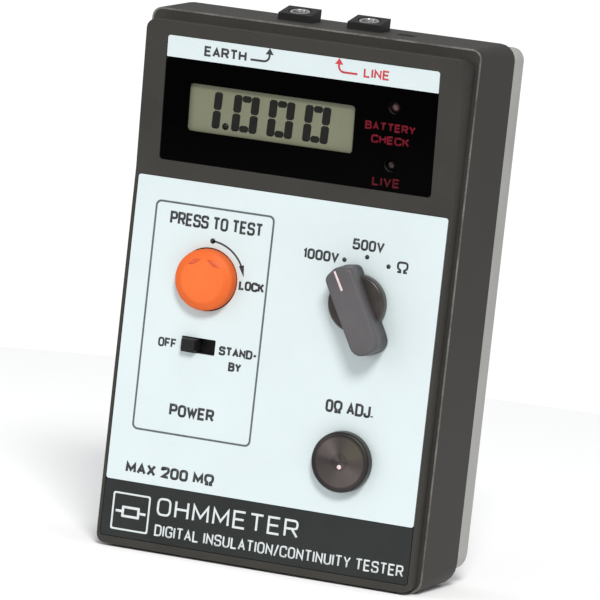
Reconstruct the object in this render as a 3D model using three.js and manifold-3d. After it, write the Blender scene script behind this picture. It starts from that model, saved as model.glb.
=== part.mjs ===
// Insulation resistance tester: a hand-held meter in a stepped plastic case.
// Millimetres. Origin at the middle of the bottom end, +Z up to the terminal
// end, front panel towards -Y, back cover towards +Y.
import * as THREE from 'three';
import { mergeVertices } from 'three/addons/utils/BufferGeometryUtils.js';
import Module from 'manifold-3d';

const wasm = await Module();
wasm.setup();

// ---------------------------------------------------------------- driving sizes
const GAP = 0.3; // gap kept between neighbouring solids
const WALL = 2.2; // wall of the case

const CASE_HALF = 49.5; // half width where the two shells meet
const CASE_TOP = 149.5; // top of the dark shell at its open edge
const LEDGE_INSET = 1.7; // draft of the dark shell from its open edge to the ledge
const LEDGE_CORNER = [2.8, 3.8]; // top and bottom corners of the shell at the ledge
const OPEN_CORNER = [4.5, 6.5]; // and at its open edge

const PANEL_Y = -14.9; // front surface of the white panel
const LEDGE_Y = PANEL_Y + 4.3; // step between the raised bezel and the shell sides
const PARTING_Y = PANEL_Y + 27.5; // edge where the rear cover starts
const BACK_Y = PANEL_Y + 38.3; // back of the rear cover

const BEZEL_HALF = 46.4; // at the ledge
const BEZEL_DRAFT = 0.08; // how much the bezel narrows for each millimetre it stands up
const BEZEL_BOTTOM = 0.7;
const BEZEL_TOP = 145.8;
const BEZEL_CORNER = 2.6;
const HEAD_Z = 103.6; // where the face kinks forward into the display head
const HEAD_RISE = 4.4; // how far the head leans forward at its top
const HEAD_TILT = Math.atan2(HEAD_RISE, BEZEL_TOP - HEAD_Z);
const FACE_WALL = 1.8; // case wall behind the front plates
const PLATE = 1.0; // depth of the recesses that hold the front plates
const RECESS_CORNER = 0.9;
const PLATE_CORNER = 0.7;

const PANEL_HALF = 45;
const PANEL_BOTTOM = 18.7;
const PANEL_TOP = 103;
const NAME_BOTTOM = 3;
const WINDOW_HALF = 39.3;
const WINDOW_BOTTOM = 4.4; // measured up the tilted head from its kink
const WINDOW_TOP = 32.6;
const STRIP_TOP = 38.6;
const LCD_X = [-32, 16];
const LCD_Z = [13.1, 26.2];
const LED_X = 27;
const BATTERY_LED_Z = 27.1;
const LIVE_LED_Z = 11.3;

const BUTTON = { x: -21.8, z: 77, radius: 8.4, proud: 4.3 };
// The selector's bar runs from its tail to its tip through the middle of the round skirt.
const SELECTOR = {
  x: 22.5, z: 76.8, skirt: 8.1, height: 8.5, rest: 28, half: 4.15, tail: -14.2, tip: 10.9,
};
const ZERO = { x: 23.1, z: 33.6, radius: 8.4, height: 3.5 };
const POWER = { x: -22.4, z: 58.6, slotX: 10, slotZ: 4.3, travel: 4.6 };

const TERMINAL_X = 10.1;
const TERMINAL_Y = PANEL_Y + 17.5;
const TERMINAL_TOP = 151.7;
const TERMINAL_SLOPE = 12 * Math.PI / 180;
const TERMINAL_SIZE = [9.6, 8];

const COVER_HALF = 49.4;
const COVER_Z = [3.5, 148.4];
const COVER_CORNER = [3.2, 4.8]; // top and bottom corners
const COVER_ROUND = 3; // rounding of the cover's back edges
const DOOR_HALF = 44.6;
const DOOR_Z = [9.6, 71];
const DOOR_PLATE = 2;

const CELL = { radius: 7.1, length: 50.3, pitch: 14.75, y: BACK_Y - 9.4, z: 12.6, count: 6 };
const TRAY_Z = [9.2, 66.2];
const TRAY_HALF = 45.3;
const TRAY_Y = [BACK_Y - 17.85, BACK_Y - 2.35];

const BOARD_Y = PANEL_Y + 12.05;
const BOARD_THICK = 1.6;
const CASE_SCREWS = [[-43, 77], [43, 77], [-43, 138], [43, 138]];
const DOOR_SCREW_Z = 67.8;
const STRAP_SLOT = { x0: 19.4, x1: 24.4, y0: TERMINAL_Y - 3.55, y1: TERMINAL_Y + 0.45, depth: 1.9 };

// ---------------------------------------------------------------- materials
const paint = (color, roughness, metalness = 0) =>
  new THREE.MeshStandardMaterial({ color, roughness, metalness });
const M = {
  caseDark: paint(0x47443f, 0.62),
  coverGrey: paint(0xa3a29c, 0.58),
  panelWhite: paint(0xe4eef0, 0.4),
  windowBlack: paint(0x050506, 0.12),
  nameDark: paint(0x2c2f30, 0.35),
  lcd: paint(0x8f8c78, 0.25),
  insulator: paint(0x1b1a19, 0.55),
  cream: paint(0xcfc8b4, 0.5),
  ledRed: paint(0x8d6f70, 0.3),
  orange: paint(0xee6528, 0.38),
  knob: paint(0x5a5654, 0.5),
  zeroKnob: paint(0x4a4242, 0.35),
  board: paint(0x2d5a3a, 0.5),
  steel: paint(0xb9babb, 0.3, 1),
  brass: paint(0xc9a45a, 0.3, 1),
  cell: paint(0x2f5c8c, 0.35, 0.2),
  copper: paint(0xa9683a, 0.45, 0.4),
  glass: paint(0xcfdadd, 0.08),
  ceramic: paint(0xb56d3a, 0.5),
  redWire: paint(0xb3262a, 0.5),
  blackWire: paint(0x161616, 0.5),
};

// ---------------------------------------------------------------- shape helpers
function toSolid(geometry) {
  const bare = geometry.index ? geometry.toNonIndexed() : geometry.clone();
  bare.deleteAttribute('normal');
  bare.deleteAttribute('uv');
  const merged = mergeVertices(bare, 1e-4);
  return new wasm.Manifold(new wasm.Mesh({
    numProp: 3,
    vertProperties: new Float32Array(merged.attributes.position.array),
    triVerts: new Uint32Array(merged.index.array),
  }));
}

function toGeometry(solid) {
  const mesh = solid.getMesh();
  const geometry = new THREE.BufferGeometry();
  geometry.setAttribute('position', new THREE.BufferAttribute(mesh.vertProperties, 3));
  geometry.setIndex(new THREE.BufferAttribute(mesh.triVerts, 1));
  return geometry;
}

const join = (...solids) => solids.reduce((sum, solid) => sum.add(solid));
const cut = (body, ...tools) => tools.reduce((rest, tool) => rest.subtract(tool), body);

// A closed outline in X and Z with round corners, as a list of points. The
// radius may differ between the top and the bottom corners.
function roundRect(x0, x1, z0, z1, radius, steps = 5) {
  const [top, bottom] = Array.isArray(radius) ? radius : [radius, radius];
  const corners = [
    [x1 - top, z1 - top, top, 0],
    [x0 + top, z1 - top, top, 90],
    [x0 + bottom, z0 + bottom, bottom, 180],
    [x1 - bottom, z0 + bottom, bottom, 270],
  ];
  const points = [];
  for (const [cx, cz, corner, start] of corners) {
    for (let i = 0; i <= steps; i++) {
      const angle = (start + 90 * i / steps) * Math.PI / 180;
      points.push(new THREE.Vector2(cx + corner * Math.cos(angle), cz + corner * Math.sin(angle)));
    }
  }
  return points;
}

// A solid that runs along Y through outlines with the same number of points.
function loft(sections) {
  const count = sections[0].points.length;
  const position = [];
  for (const { y, points } of sections) {
    for (const point of points) position.push(point.x, y, point.y);
  }
  const index = [];
  for (let s = 0; s < sections.length - 1; s++) {
    for (let i = 0; i < count; i++) {
      const j = (i + 1) % count;
      const a = s * count;
      const b = a + count;
      index.push(a + i, b + i, a + j, a + j, b + i, b + j);
    }
  }
  const cap = THREE.ShapeUtils.triangulateShape(sections[0].points, []);
  const last = (sections.length - 1) * count;
  for (const [i, j, k] of cap) {
    index.push(i, j, k);
    index.push(last + k, last + j, last + i);
  }
  const geometry = new THREE.BufferGeometry();
  geometry.setAttribute('position', new THREE.Float32BufferAttribute(position, 3));
  geometry.setIndex(index);
  return toSolid(geometry);
}

// A straight solid along Y from an outline in X and Z.
function slab(points, y0, y1) {
  return loft([{ y: y0, points }, { y: y1, points }]);
}

const box = (x0, x1, y0, y1, z0, z1) => {
  const geometry = new THREE.BoxGeometry(x1 - x0, y1 - y0, z1 - z0);
  geometry.translate((x0 + x1) / 2, (y0 + y1) / 2, (z0 + z1) / 2);
  return toSolid(geometry);
};

// A cylinder along Y, or along Z or X by name.
function rod(x, z, radius, y0, y1, sides = 32) {
  const geometry = new THREE.CylinderGeometry(radius, radius, y1 - y0, sides);
  geometry.translate(x, (y0 + y1) / 2, z);
  return toSolid(geometry);
}

function rodZ(x, y, radius, z0, z1, sides = 24) {
  const geometry = new THREE.CylinderGeometry(radius, radius, z1 - z0, sides);
  geometry.rotateX(Math.PI / 2);
  geometry.translate(x, y, (z0 + z1) / 2);
  return toSolid(geometry);
}

function rodX(y, z, radius, x0, x1, sides = 16) {
  const geometry = new THREE.CylinderGeometry(radius, radius, x1 - x0, sides);
  geometry.rotateZ(Math.PI / 2);
  geometry.translate((x0 + x1) / 2, y, z);
  return toSolid(geometry);
}

// A turned solid whose axis runs along Y; the profile gives radius and y.
function turned(x, z, profile, sides = 40) {
  const points = profile.map(([radius, y]) => new THREE.Vector2(radius, y));
  const geometry = new THREE.LatheGeometry(points, sides);
  geometry.translate(x, 0, z);
  return toSolid(geometry);
}

// Solids drawn flat on the display head: y = 0 is its face, z runs up it.
function onHead(solid) {
  const turn = new THREE.Matrix4().makeRotationX(HEAD_TILT);
  const place = new THREE.Matrix4().makeTranslation(0, PANEL_Y, HEAD_Z);
  return solid.transform(place.multiply(turn).elements);
}

const object = new THREE.Group();
function add(name, solid, material) {
  const mesh = new THREE.Mesh(toGeometry(solid), material);
  mesh.name = name;
  object.add(mesh);
}

// ---------------------------------------------------------------- dark front case
// The raised bezel, with its side profile leaning forward at the display head.
function bezel(inset, faceInset, yBack) {
  const front = PANEL_Y - HEAD_RISE - 1;
  const outline = (y) => {
    const draw = inset + BEZEL_DRAFT * (LEDGE_Y - y);
    return {
      y,
      points: roundRect(
        -BEZEL_HALF + draw, BEZEL_HALF - draw, BEZEL_BOTTOM + inset, BEZEL_TOP - inset, BEZEL_CORNER),
    };
  };
  const above = HEAD_RISE + 2;
  const profile = new THREE.Shape([
    new THREE.Vector2(PANEL_Y + faceInset, -5),
    new THREE.Vector2(yBack + 1, -5),
    new THREE.Vector2(yBack + 1, BEZEL_TOP + 10),
    new THREE.Vector2(PANEL_Y + faceInset - above * Math.tan(HEAD_TILT) - HEAD_RISE, BEZEL_TOP + above),
    new THREE.Vector2(PANEL_Y + faceInset, HEAD_Z),
  ]);
  const wedge = new THREE.ExtrudeGeometry(profile, { depth: 2 * CASE_HALF, bevelEnabled: false });
  wedge.applyMatrix4(new THREE.Matrix4().set(
    0, 0, 1, -CASE_HALF,
    1, 0, 0, 0,
    0, 1, 0, 0,
    0, 0, 0, 1));
  return loft([outline(front), outline(yBack)]).intersect(toSolid(wedge));
}

const shellRect = (inset, z0, z1, corner) =>
  roundRect(-CASE_HALF + inset, CASE_HALF - inset, z0, z1, corner);

function frontCase() {
  const sides = loft([
    { y: LEDGE_Y, points: shellRect(LEDGE_INSET, 0, CASE_TOP - LEDGE_INSET / 2, LEDGE_CORNER) },
    { y: PARTING_Y, points: shellRect(0, 0, CASE_TOP, OPEN_CORNER) },
  ]);
  const outer = join(sides, bezel(0, 0, LEDGE_Y + 1));
  const room = loft([
    {
      y: LEDGE_Y + WALL,
      points: shellRect(LEDGE_INSET + WALL, WALL + 0.6, CASE_TOP - WALL - 0.8, LEDGE_CORNER),
    },
    { y: PARTING_Y - 2.3, points: shellRect(WALL, WALL, CASE_TOP - WALL, OPEN_CORNER) },
  ]);
  const mouth = slab(
    roundRect(-CASE_HALF + WALL, CASE_HALF - WALL, COVER_Z[0] + WALL, COVER_Z[1] - WALL, 3),
    PARTING_Y - 2.4, PARTING_Y + 1);
  const nose = bezel(WALL, PLATE + FACE_WALL, LEDGE_Y + WALL + 0.1);
  const panelRecess = slab(
    roundRect(-PANEL_HALF - 0.2, PANEL_HALF + 0.2, NAME_BOTTOM - 0.2, PANEL_TOP + 0.2, RECESS_CORNER),
    PANEL_Y - 1, PANEL_Y + PLATE);
  const windowRecess = onHead(slab(
    roundRect(-WINDOW_HALF - 0.2, WINDOW_HALF + 0.2, WINDOW_BOTTOM - 0.2, STRIP_TOP + 0.2, RECESS_CORNER),
    -1, PLATE));
  const lcdOpening = onHead(slab(
    roundRect(LCD_X[0] - 2, LCD_X[1] + 2, LCD_Z[0] - 2, LCD_Z[1] + 2, 1), -0.5, 6));
  const ledHoles = [BATTERY_LED_Z, LIVE_LED_Z].map((z) => onHead(rod(LED_X, z, 1.9, -0.5, 6, 20)));
  const through = [PANEL_Y - 1, PANEL_Y + 5];
  const buttonHole = rod(BUTTON.x, BUTTON.z, BUTTON.radius + 0.4, ...through, 40);
  const selectorHole = rod(SELECTOR.x, SELECTOR.z, 3.6, ...through, 24);
  const zeroHole = rod(ZERO.x, ZERO.z, 3.1, ...through, 24);
  const powerSlot = slab(roundRect(
    POWER.x - POWER.slotX / 2, POWER.x + POWER.slotX / 2,
    POWER.z - POWER.slotZ / 2, POWER.z + POWER.slotZ / 2, 0.4, 2), ...through);
  const [tx, ty] = TERMINAL_SIZE;
  const terminalHoles = [-TERMINAL_X, TERMINAL_X].map((x) => box(
    x - tx / 2 - GAP, x + tx / 2 + GAP,
    TERMINAL_Y - ty / 2 - GAP, TERMINAL_Y + ty / 2 + GAP, CASE_TOP - 5, CASE_TOP + 2));
  const strapSlot = box(
    STRAP_SLOT.x0, STRAP_SLOT.x1, STRAP_SLOT.y0, STRAP_SLOT.y1, CASE_TOP - STRAP_SLOT.depth, CASE_TOP + 2);
  const shell = cut(outer, room, mouth, nose, panelRecess, windowRecess, lcdOpening, ...ledHoles,
    buttonHole, selectorHole, zeroHole, powerSlot, ...terminalHoles, strapSlot);
  const posts = CASE_SCREWS.map(([x, z]) => {
    const faceY = z > HEAD_Z ? PANEL_Y : PANEL_Y + 2;
    return cut(rod(x, z, 3.2, faceY, PARTING_Y - 0.1, 20), rod(x, z, 1.6, BACK_Y - 20, PARTING_Y + 1, 16));
  });
  const ties = CASE_SCREWS.map(([x, z]) => {
    const wallX = Math.sign(x) * (CASE_HALF - 1.6);
    return box(Math.min(x, wallX) + (x > 0 ? 2.4 : 0), Math.max(x, wallX) - (x < 0 ? 2.4 : 0),
      PANEL_Y + 8, PARTING_Y - 0.1, z - 0.8, z + 0.8);
  });
  return join(shell, ...posts, ...ties);
}
add('front_case', frontCase(), M.caseDark);

// ---------------------------------------------------------------- rear cover and door
function coverOutline(inset) {
  return roundRect(
    -COVER_HALF + inset, COVER_HALF - inset, COVER_Z[0] + inset, COVER_Z[1] - inset,
    COVER_CORNER.map((radius) => radius - inset * 0.4));
}

function rearCover() {
  const round = [0, 30, 60, 90].map((degrees) => {
    const angle = degrees * Math.PI / 180;
    return {
      y: BACK_Y - COVER_ROUND * (1 - Math.sin(angle)),
      points: coverOutline(COVER_ROUND * (1 - Math.cos(angle))),
    };
  });
  const outer = loft([{ y: PARTING_Y + GAP, points: coverOutline(0) }, ...round]);
  const hollow = slab(coverOutline(WALL), PARTING_Y - 1, BACK_Y - WALL - 0.1);
  const opening = slab(
    roundRect(-DOOR_HALF - 0.3, DOOR_HALF + 0.3, DOOR_Z[0] - 0.3, DOOR_Z[1] + 0.3, 1.6),
    BACK_Y - DOOR_PLATE - 3, BACK_Y + 1);
  const posts = CASE_SCREWS.map(([x, z]) => rod(x, z, 4.4, PARTING_Y + GAP, BACK_Y - WALL, 24));
  const heads = CASE_SCREWS.map(([x, z]) => rod(x, z, 3.2, BACK_Y - 4, BACK_Y + 1, 24));
  const shanks = CASE_SCREWS.map(([x, z]) => rod(x, z, 1.7, PARTING_Y - 1, BACK_Y, 16));
  const ledge = box(-DOOR_HALF + 8, DOOR_HALF - 8,
    BACK_Y - DOOR_PLATE - 2.1, BACK_Y - DOOR_PLATE - GAP, DOOR_Z[1] - 4.6, DOOR_Z[1] + 1.2);
  const doorScrewHole = rod(0, DOOR_SCREW_Z, 1.4, BACK_Y - 6, BACK_Y, 16);
  const grips = [0, 1, 2, 3, 4].map((i) =>
    box(-30, 30, BACK_Y - 0.7, BACK_Y + 1, 100 + 7 * i, 102 + 7 * i));
  return cut(join(cut(outer, hollow, opening), ...posts, ledge), ...heads, ...shanks, doorScrewHole,
    ...grips);
}
add('rear_cover', rearCover(), M.coverGrey);

function batteryCover() {
  const plate = slab(
    roundRect(-DOOR_HALF, DOOR_HALF, DOOR_Z[0], DOOR_Z[1], 1.4), BACK_Y - DOOR_PLATE, BACK_Y);
  const grip = [0, 1, 2, 3].map((i) =>
    box(-12, 12, BACK_Y - 0.6, BACK_Y + 1, DOOR_Z[0] + 5 + 3.2 * i, DOOR_Z[0] + 6.4 + 3.2 * i));
  const screwHead = rod(0, DOOR_SCREW_Z, 2.6, BACK_Y - 1.2, BACK_Y + 1, 20);
  const screwHole = rod(0, DOOR_SCREW_Z, 1.5, BACK_Y - 4, BACK_Y, 16);
  return cut(plate, ...grip, screwHead, screwHole);
}
add('battery_cover', batteryCover(), M.coverGrey);

// A pan-head screw driven towards -Y, with a cross recess.
function screw(x, z, headY, headRadius, headHeight, shankRadius, length) {
  const head = rod(x, z, headRadius, headY - headHeight, headY, 20);
  const shank = rod(x, z, shankRadius, headY - length, headY - headHeight + 0.2, 12);
  const reach = headRadius * 0.6;
  const slots = [[reach, 0.35], [0.35, reach]].map(([halfX, halfZ]) =>
    box(x - halfX, x + halfX, headY - 0.7, headY + 1, z - halfZ, z + halfZ));
  return cut(join(head, shank), ...slots);
}
add('battery_cover_screw', screw(0, DOOR_SCREW_Z, BACK_Y - 0.3, 2.3, 0.6, 1.1, 5.6), M.steel);
CASE_SCREWS.forEach(([x, z], i) => {
  add(`case_screw_${i + 1}`, screw(x, z, BACK_Y - 2, 2.8, 1.6, 1.25, 16), M.steel);
});

// ---------------------------------------------------------------- front plates
function frontPanel() {
  const plate = slab(
    roundRect(-PANEL_HALF, PANEL_HALF, PANEL_BOTTOM, PANEL_TOP, PLATE_CORNER),
    PANEL_Y, PANEL_Y + PLATE - 0.1);
  const through = [PANEL_Y - 1, PANEL_Y + 2];
  return cut(plate,
    rod(BUTTON.x, BUTTON.z, BUTTON.radius + 0.35, ...through, 40),
    rod(SELECTOR.x, SELECTOR.z, 3.6, ...through, 24),
    rod(ZERO.x, ZERO.z, 3.1, ...through, 24),
    slab(roundRect(
      POWER.x - POWER.slotX / 2, POWER.x + POWER.slotX / 2,
      POWER.z - POWER.slotZ / 2, POWER.z + POWER.slotZ / 2, 0.3, 2), ...through));
}
add('front_panel', frontPanel(), M.panelWhite);
add('name_plate', slab(
  roundRect(-PANEL_HALF, PANEL_HALF, NAME_BOTTOM, PANEL_BOTTOM - 0.15, PLATE_CORNER),
  PANEL_Y, PANEL_Y + PLATE - 0.1), M.nameDark);

add('display_window', onHead(slab(
  roundRect(-WINDOW_HALF, WINDOW_HALF, WINDOW_BOTTOM, WINDOW_TOP - 0.05, [0.2, PLATE_CORNER]),
  0.15, PLATE - 0.1)), M.windowBlack);
add('terminal_label_plate', onHead(slab(
  roundRect(-WINDOW_HALF, WINDOW_HALF, WINDOW_TOP + 0.1, STRIP_TOP, [PLATE_CORNER, 0.2]),
  0.15, PLATE - 0.1)),
  M.panelWhite);

// ---------------------------------------------------------------- display parts
add('lcd_glass', onHead(box(LCD_X[0] - 1.5, LCD_X[1] + 1.5, 1.3, 3.5, LCD_Z[0] - 1.5, LCD_Z[1] + 1.5)),
  M.lcd);
function lcdFrame() {
  const outer = box(LCD_X[0] - 3.5, LCD_X[1] + 3.5, 3.8, 5.7, LCD_Z[0] - 3.5, LCD_Z[1] + 3.5);
  const inner = box(LCD_X[0] + 1, LCD_X[1] - 1, 3, 7, LCD_Z[0] + 1, LCD_Z[1] - 1);
  return onHead(cut(outer, inner));
}
add('lcd_frame', lcdFrame(), M.insulator);
function led(z) {
  const profile = [
    [0, 1.3], [0.8, 1.5], [1.35, 2.1], [1.5, 2.8], [1.5, 5.2], [1.9, 5.2], [1.9, 5.7], [0, 5.7],
  ];
  return onHead(turned(LED_X, z, profile, 20));
}
add('battery_led', led(BATTERY_LED_Z), M.ledRed);
add('live_led', led(LIVE_LED_Z), M.ledRed);
add('display_board', onHead(box(-36, 36, 6, 7.5, 5, 36)), M.board);

// ---------------------------------------------------------------- test button
const capFront = PANEL_Y - BUTTON.proud;
const switchFront = PANEL_Y + 8.15;
function testCap() {
  const r = BUTTON.radius;
  const rim = PANEL_Y + FACE_WALL + PLATE + GAP;
  return turned(BUTTON.x, BUTTON.z, [
    [0, capFront], [r - 2.4, capFront], [r - 0.5, capFront + 0.9], [r, capFront + 1.8],
    [r, rim], [r + 1.2, rim], [r + 1.2, rim + 1.1], [r - 1.7, rim + 1.1],
    [r - 1.7, capFront + 2.4], [0, capFront + 2.4],
  ], 48);
}
add('test_button_cap', testCap(), M.orange);
add('test_button_plunger', turned(BUTTON.x, BUTTON.z, [
  [0, capFront + 2.7], [6.2, capFront + 2.7], [6.2, capFront + 3.8], [2, capFront + 3.8],
  [2, switchFront + 0.5], [0, switchFront + 0.5],
], 28), M.cream);
function spring(x, z, y0, y1, radius, wire, turns) {
  class Coil extends THREE.Curve {
    getPoint(t, target = new THREE.Vector3()) {
      const angle = t * turns * 2 * Math.PI;
      return target.set(x + radius * Math.cos(angle), y0 + (y1 - y0) * t, z + radius * Math.sin(angle));
    }
  }
  const section = new THREE.Shape();
  section.absarc(0, 0, wire / 2, 0, 2 * Math.PI, false);
  return toSolid(new THREE.ExtrudeGeometry(section, {
    steps: turns * 12, curveSegments: 6, extrudePath: new Coil(), bevelEnabled: false,
  }));
}
add('test_button_spring', spring(BUTTON.x, BUTTON.z, capFront + 4.5, switchFront - 0.7, 4.2, 0.7, 4),
  M.steel);
add('test_switch_body', cut(
  box(BUTTON.x - 6.5, BUTTON.x + 6.5, switchFront, BOARD_Y - 0.1, BUTTON.z - 6.5, BUTTON.z + 6.5),
  rod(BUTTON.x, BUTTON.z, 2.4, switchFront - 1, BOARD_Y + 1, 20)), M.insulator);

// ---------------------------------------------------------------- range selector
function selectorKnob() {
  const base = PANEL_Y - 0.4;
  const skirtTop = PANEL_Y - 3.4;
  const s = SELECTOR.skirt;
  const skirt = turned(0, 0, [
    [0, skirtTop], [s - 0.8, skirtTop], [s, skirtTop + 0.6], [s, base], [0, base],
  ], 40);
  const outline = (grow, corner) => roundRect(
    -SELECTOR.half - grow, SELECTOR.half + grow, SELECTOR.tail - grow, SELECTOR.tip + grow, corner);
  const bar = loft([
    { y: PANEL_Y - SELECTOR.height, points: outline(-0.35, 3.6) },
    { y: PANEL_Y - SELECTOR.height + 1, points: outline(0, 4) },
    { y: base, points: outline(0.3, 4.2) },
  ]);
  const bore = rod(0, 0, 3.3, PANEL_Y - 5.6, PANEL_Y + 1, 24);
  const knob = cut(join(skirt, bar), bore);
  const turn = new THREE.Matrix4().makeRotationY(-SELECTOR.rest * Math.PI / 180);
  const place = new THREE.Matrix4().makeTranslation(SELECTOR.x, 0, SELECTOR.z);
  return knob.transform(place.multiply(turn).elements);
}
add('selector_knob', selectorKnob(), M.knob);
add('selector_shaft', rod(SELECTOR.x, SELECTOR.z, 3, PANEL_Y - 5.3, BOARD_Y - 0.7, 24), M.steel);
const rotorBack = PANEL_Y + 8.55;
add('selector_switch_body', cut(
  join(rod(SELECTOR.x, SELECTOR.z, 12, PANEL_Y + 5.15, rotorBack, 40),
    box(SELECTOR.x - 9, SELECTOR.x + 9, rotorBack - 0.1, BOARD_Y - 0.1, SELECTOR.z - 9, SELECTOR.z + 9)),
  rod(SELECTOR.x, SELECTOR.z, 3.3, PANEL_Y + 4, BOARD_Y + 1, 24)), M.insulator);

// ---------------------------------------------------------------- power switch
const sliderX = POWER.x - POWER.travel / 2;
function powerSlider() {
  const section = (y, halfX, halfZ) => ({
    y,
    points: roundRect(sliderX - halfX, sliderX + halfX, POWER.z - halfZ, POWER.z + halfZ, 0.3, 2),
  });
  const thumb = loft([
    section(PANEL_Y - 2.2, 1.9, 1.6),
    section(PANEL_Y - 0.6, 2.3, 1.85),
    section(PANEL_Y + 3.6, 2.3, 1.85),
  ]);
  const carriage = box(
    sliderX - 7.6, sliderX + 7.6, PANEL_Y + 3.3, PANEL_Y + 4.6, POWER.z - 3.1, POWER.z + 3.1);
  return join(thumb, carriage);
}
add('power_slider', powerSlider(), M.insulator);
function powerSwitchBody() {
  const outer = box(POWER.x - 12, POWER.x + 12, PANEL_Y + 3.1, BOARD_Y - 0.1, POWER.z - 5, POWER.z + 5);
  const track = box(POWER.x - 10.5, POWER.x + 10.5, PANEL_Y, PANEL_Y + 5, POWER.z - 3.6, POWER.z + 3.6);
  return cut(outer, track);
}
add('power_switch_body', powerSwitchBody(), M.steel);

// ---------------------------------------------------------------- zero adjuster
add('zero_knob', cut(
  turned(ZERO.x, ZERO.z, [
    [0, PANEL_Y - ZERO.height], [ZERO.radius - 0.9, PANEL_Y - ZERO.height],
    [ZERO.radius - 0.2, PANEL_Y - ZERO.height + 0.5], [ZERO.radius, PANEL_Y - 0.4], [0, PANEL_Y - 0.4],
  ], 48),
  rod(ZERO.x, ZERO.z, 2.8, PANEL_Y - 2.4, PANEL_Y + 1, 20)), M.zeroKnob);
add('zero_shaft', rod(ZERO.x, ZERO.z, 2.5, PANEL_Y - 2.1, PANEL_Y + 9.75, 20), M.steel);
add('zero_potentiometer', cut(
  join(rod(ZERO.x, ZERO.z, 8, PANEL_Y + 5.75, PANEL_Y + 10.35, 32),
    box(ZERO.x - 5, ZERO.x + 5, PANEL_Y + 10.25, BOARD_Y - 0.1, ZERO.z - 8, ZERO.z + 8)),
  rod(ZERO.x, ZERO.z, 2.8, PANEL_Y + 4.75, PANEL_Y + 10.95, 20)), M.steel);

// ---------------------------------------------------------------- circuit boards
const boardBack = BOARD_Y + BOARD_THICK;
const partBase = boardBack + 0.1;
add('main_board', cut(
  slab(roundRect(-44.5, 44.5, 8, 131, 1, 2), BOARD_Y, boardBack),
  ...CASE_SCREWS.map(([x, z]) => rod(x, z, 3.7, BOARD_Y - 1, boardBack + 1, 20)),
  ...[-1, 1].map((side) => box(
    Math.min(side * 50, side * 40.2), Math.max(side * 50, side * 40.2),
    BOARD_Y - 1.3, boardBack + 1.1, 73.3, 80.7))), M.board);
add('inverter_transformer', join(
  box(-36, -14, partBase, partBase + 14, 84, 91), box(-36, -14, partBase, partBase + 14, 99, 106),
  box(-36, -31, partBase, partBase + 14, 90, 100), box(-19, -14, partBase, partBase + 14, 90, 100),
  rodX(partBase + 7, 95, 6.2, -31.5, -18.5, 20)), M.copper);
add('hv_capacitor_1', rodZ(-2, partBase + 5.2, 5, 84, 106, 24), M.insulator);
add('hv_capacitor_2', rodZ(10, partBase + 5.2, 5, 84, 106, 24), M.insulator);
function chip(x, z, length, width) {
  const body = box(
    x - width / 2, x + width / 2, partBase + 0.7, partBase + 4, z - length / 2, z + length / 2);
  const legs = [-1, 1].map((side) => box(
    x + side * width / 2 - 0.8, x + side * width / 2 + 0.8, partBase, partBase + 2,
    z - length / 2 + 1, z + length / 2 - 1));
  return join(body, ...legs);
}
add('converter_chip', chip(26, 97, 34, 12), M.insulator);
add('control_chip', chip(-4.5, 121, 12, 7), M.insulator);
function resistor(z, x0, x1) {
  return join(rodX(partBase + 2.2, z, 2, x0, x1, 16), rodX(partBase + 2.2, z, 0.4, x0 - 3, x1 + 3, 8));
}
add('range_resistor_1', resistor(111, -3, 13), M.ceramic);
add('range_resistor_2', resistor(118, 10, 26), M.ceramic);
const fuseY = partBase + 5.4;
add('fuse', join(
  rodX(fuseY, 76, 2.2, -9.6, 9.6, 20),
  rodX(fuseY, 76, 2.6, -10, -5, 20), rodX(fuseY, 76, 2.6, 5, 10, 20)), M.glass);
function fuseHolder() {
  const base = box(-12, 12, partBase, partBase + 1.2, 73, 79);
  const clips = [-7.5, 7.5].map((x) => cut(
    box(x - 2, x + 2, partBase + 1, fuseY + 2.2, 72.4, 79.6),
    rodX(fuseY, 76, 2.9, x - 3, x + 3, 20),
    box(x - 3, x + 3, fuseY, fuseY + 4, 73.8, 78.2)));
  return join(base, ...clips);
}
add('fuse_holder', fuseHolder(), M.steel);

// ---------------------------------------------------------------- terminals
const socketZ = TERMINAL_TOP - 0.15;
function terminalBlock(x) {
  const [sx, sy] = TERMINAL_SIZE;
  const sleeve = slab(
    roundRect(x - sx / 2, x + sx / 2, 134.5, TERMINAL_TOP + 4, 0.2, 1),
    TERMINAL_Y - sy / 2, TERMINAL_Y + sy / 2);
  const flange = box(x - sx / 2 - 1.5, x + sx / 2 + 1.5,
    TERMINAL_Y - sy / 2 - 1.5, TERMINAL_Y + sy / 2 + 1.5, 144.6, 146.2);
  const slope = new THREE.BoxGeometry(30, 40, 12);
  slope.translate(0, 0, 6);
  slope.rotateX(TERMINAL_SLOPE);
  slope.translate(x, TERMINAL_Y, TERMINAL_TOP);
  return cut(join(sleeve, flange), toSolid(slope),
    rodZ(x, TERMINAL_Y, 3.1, 130, TERMINAL_TOP + 5, 28));
}
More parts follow.
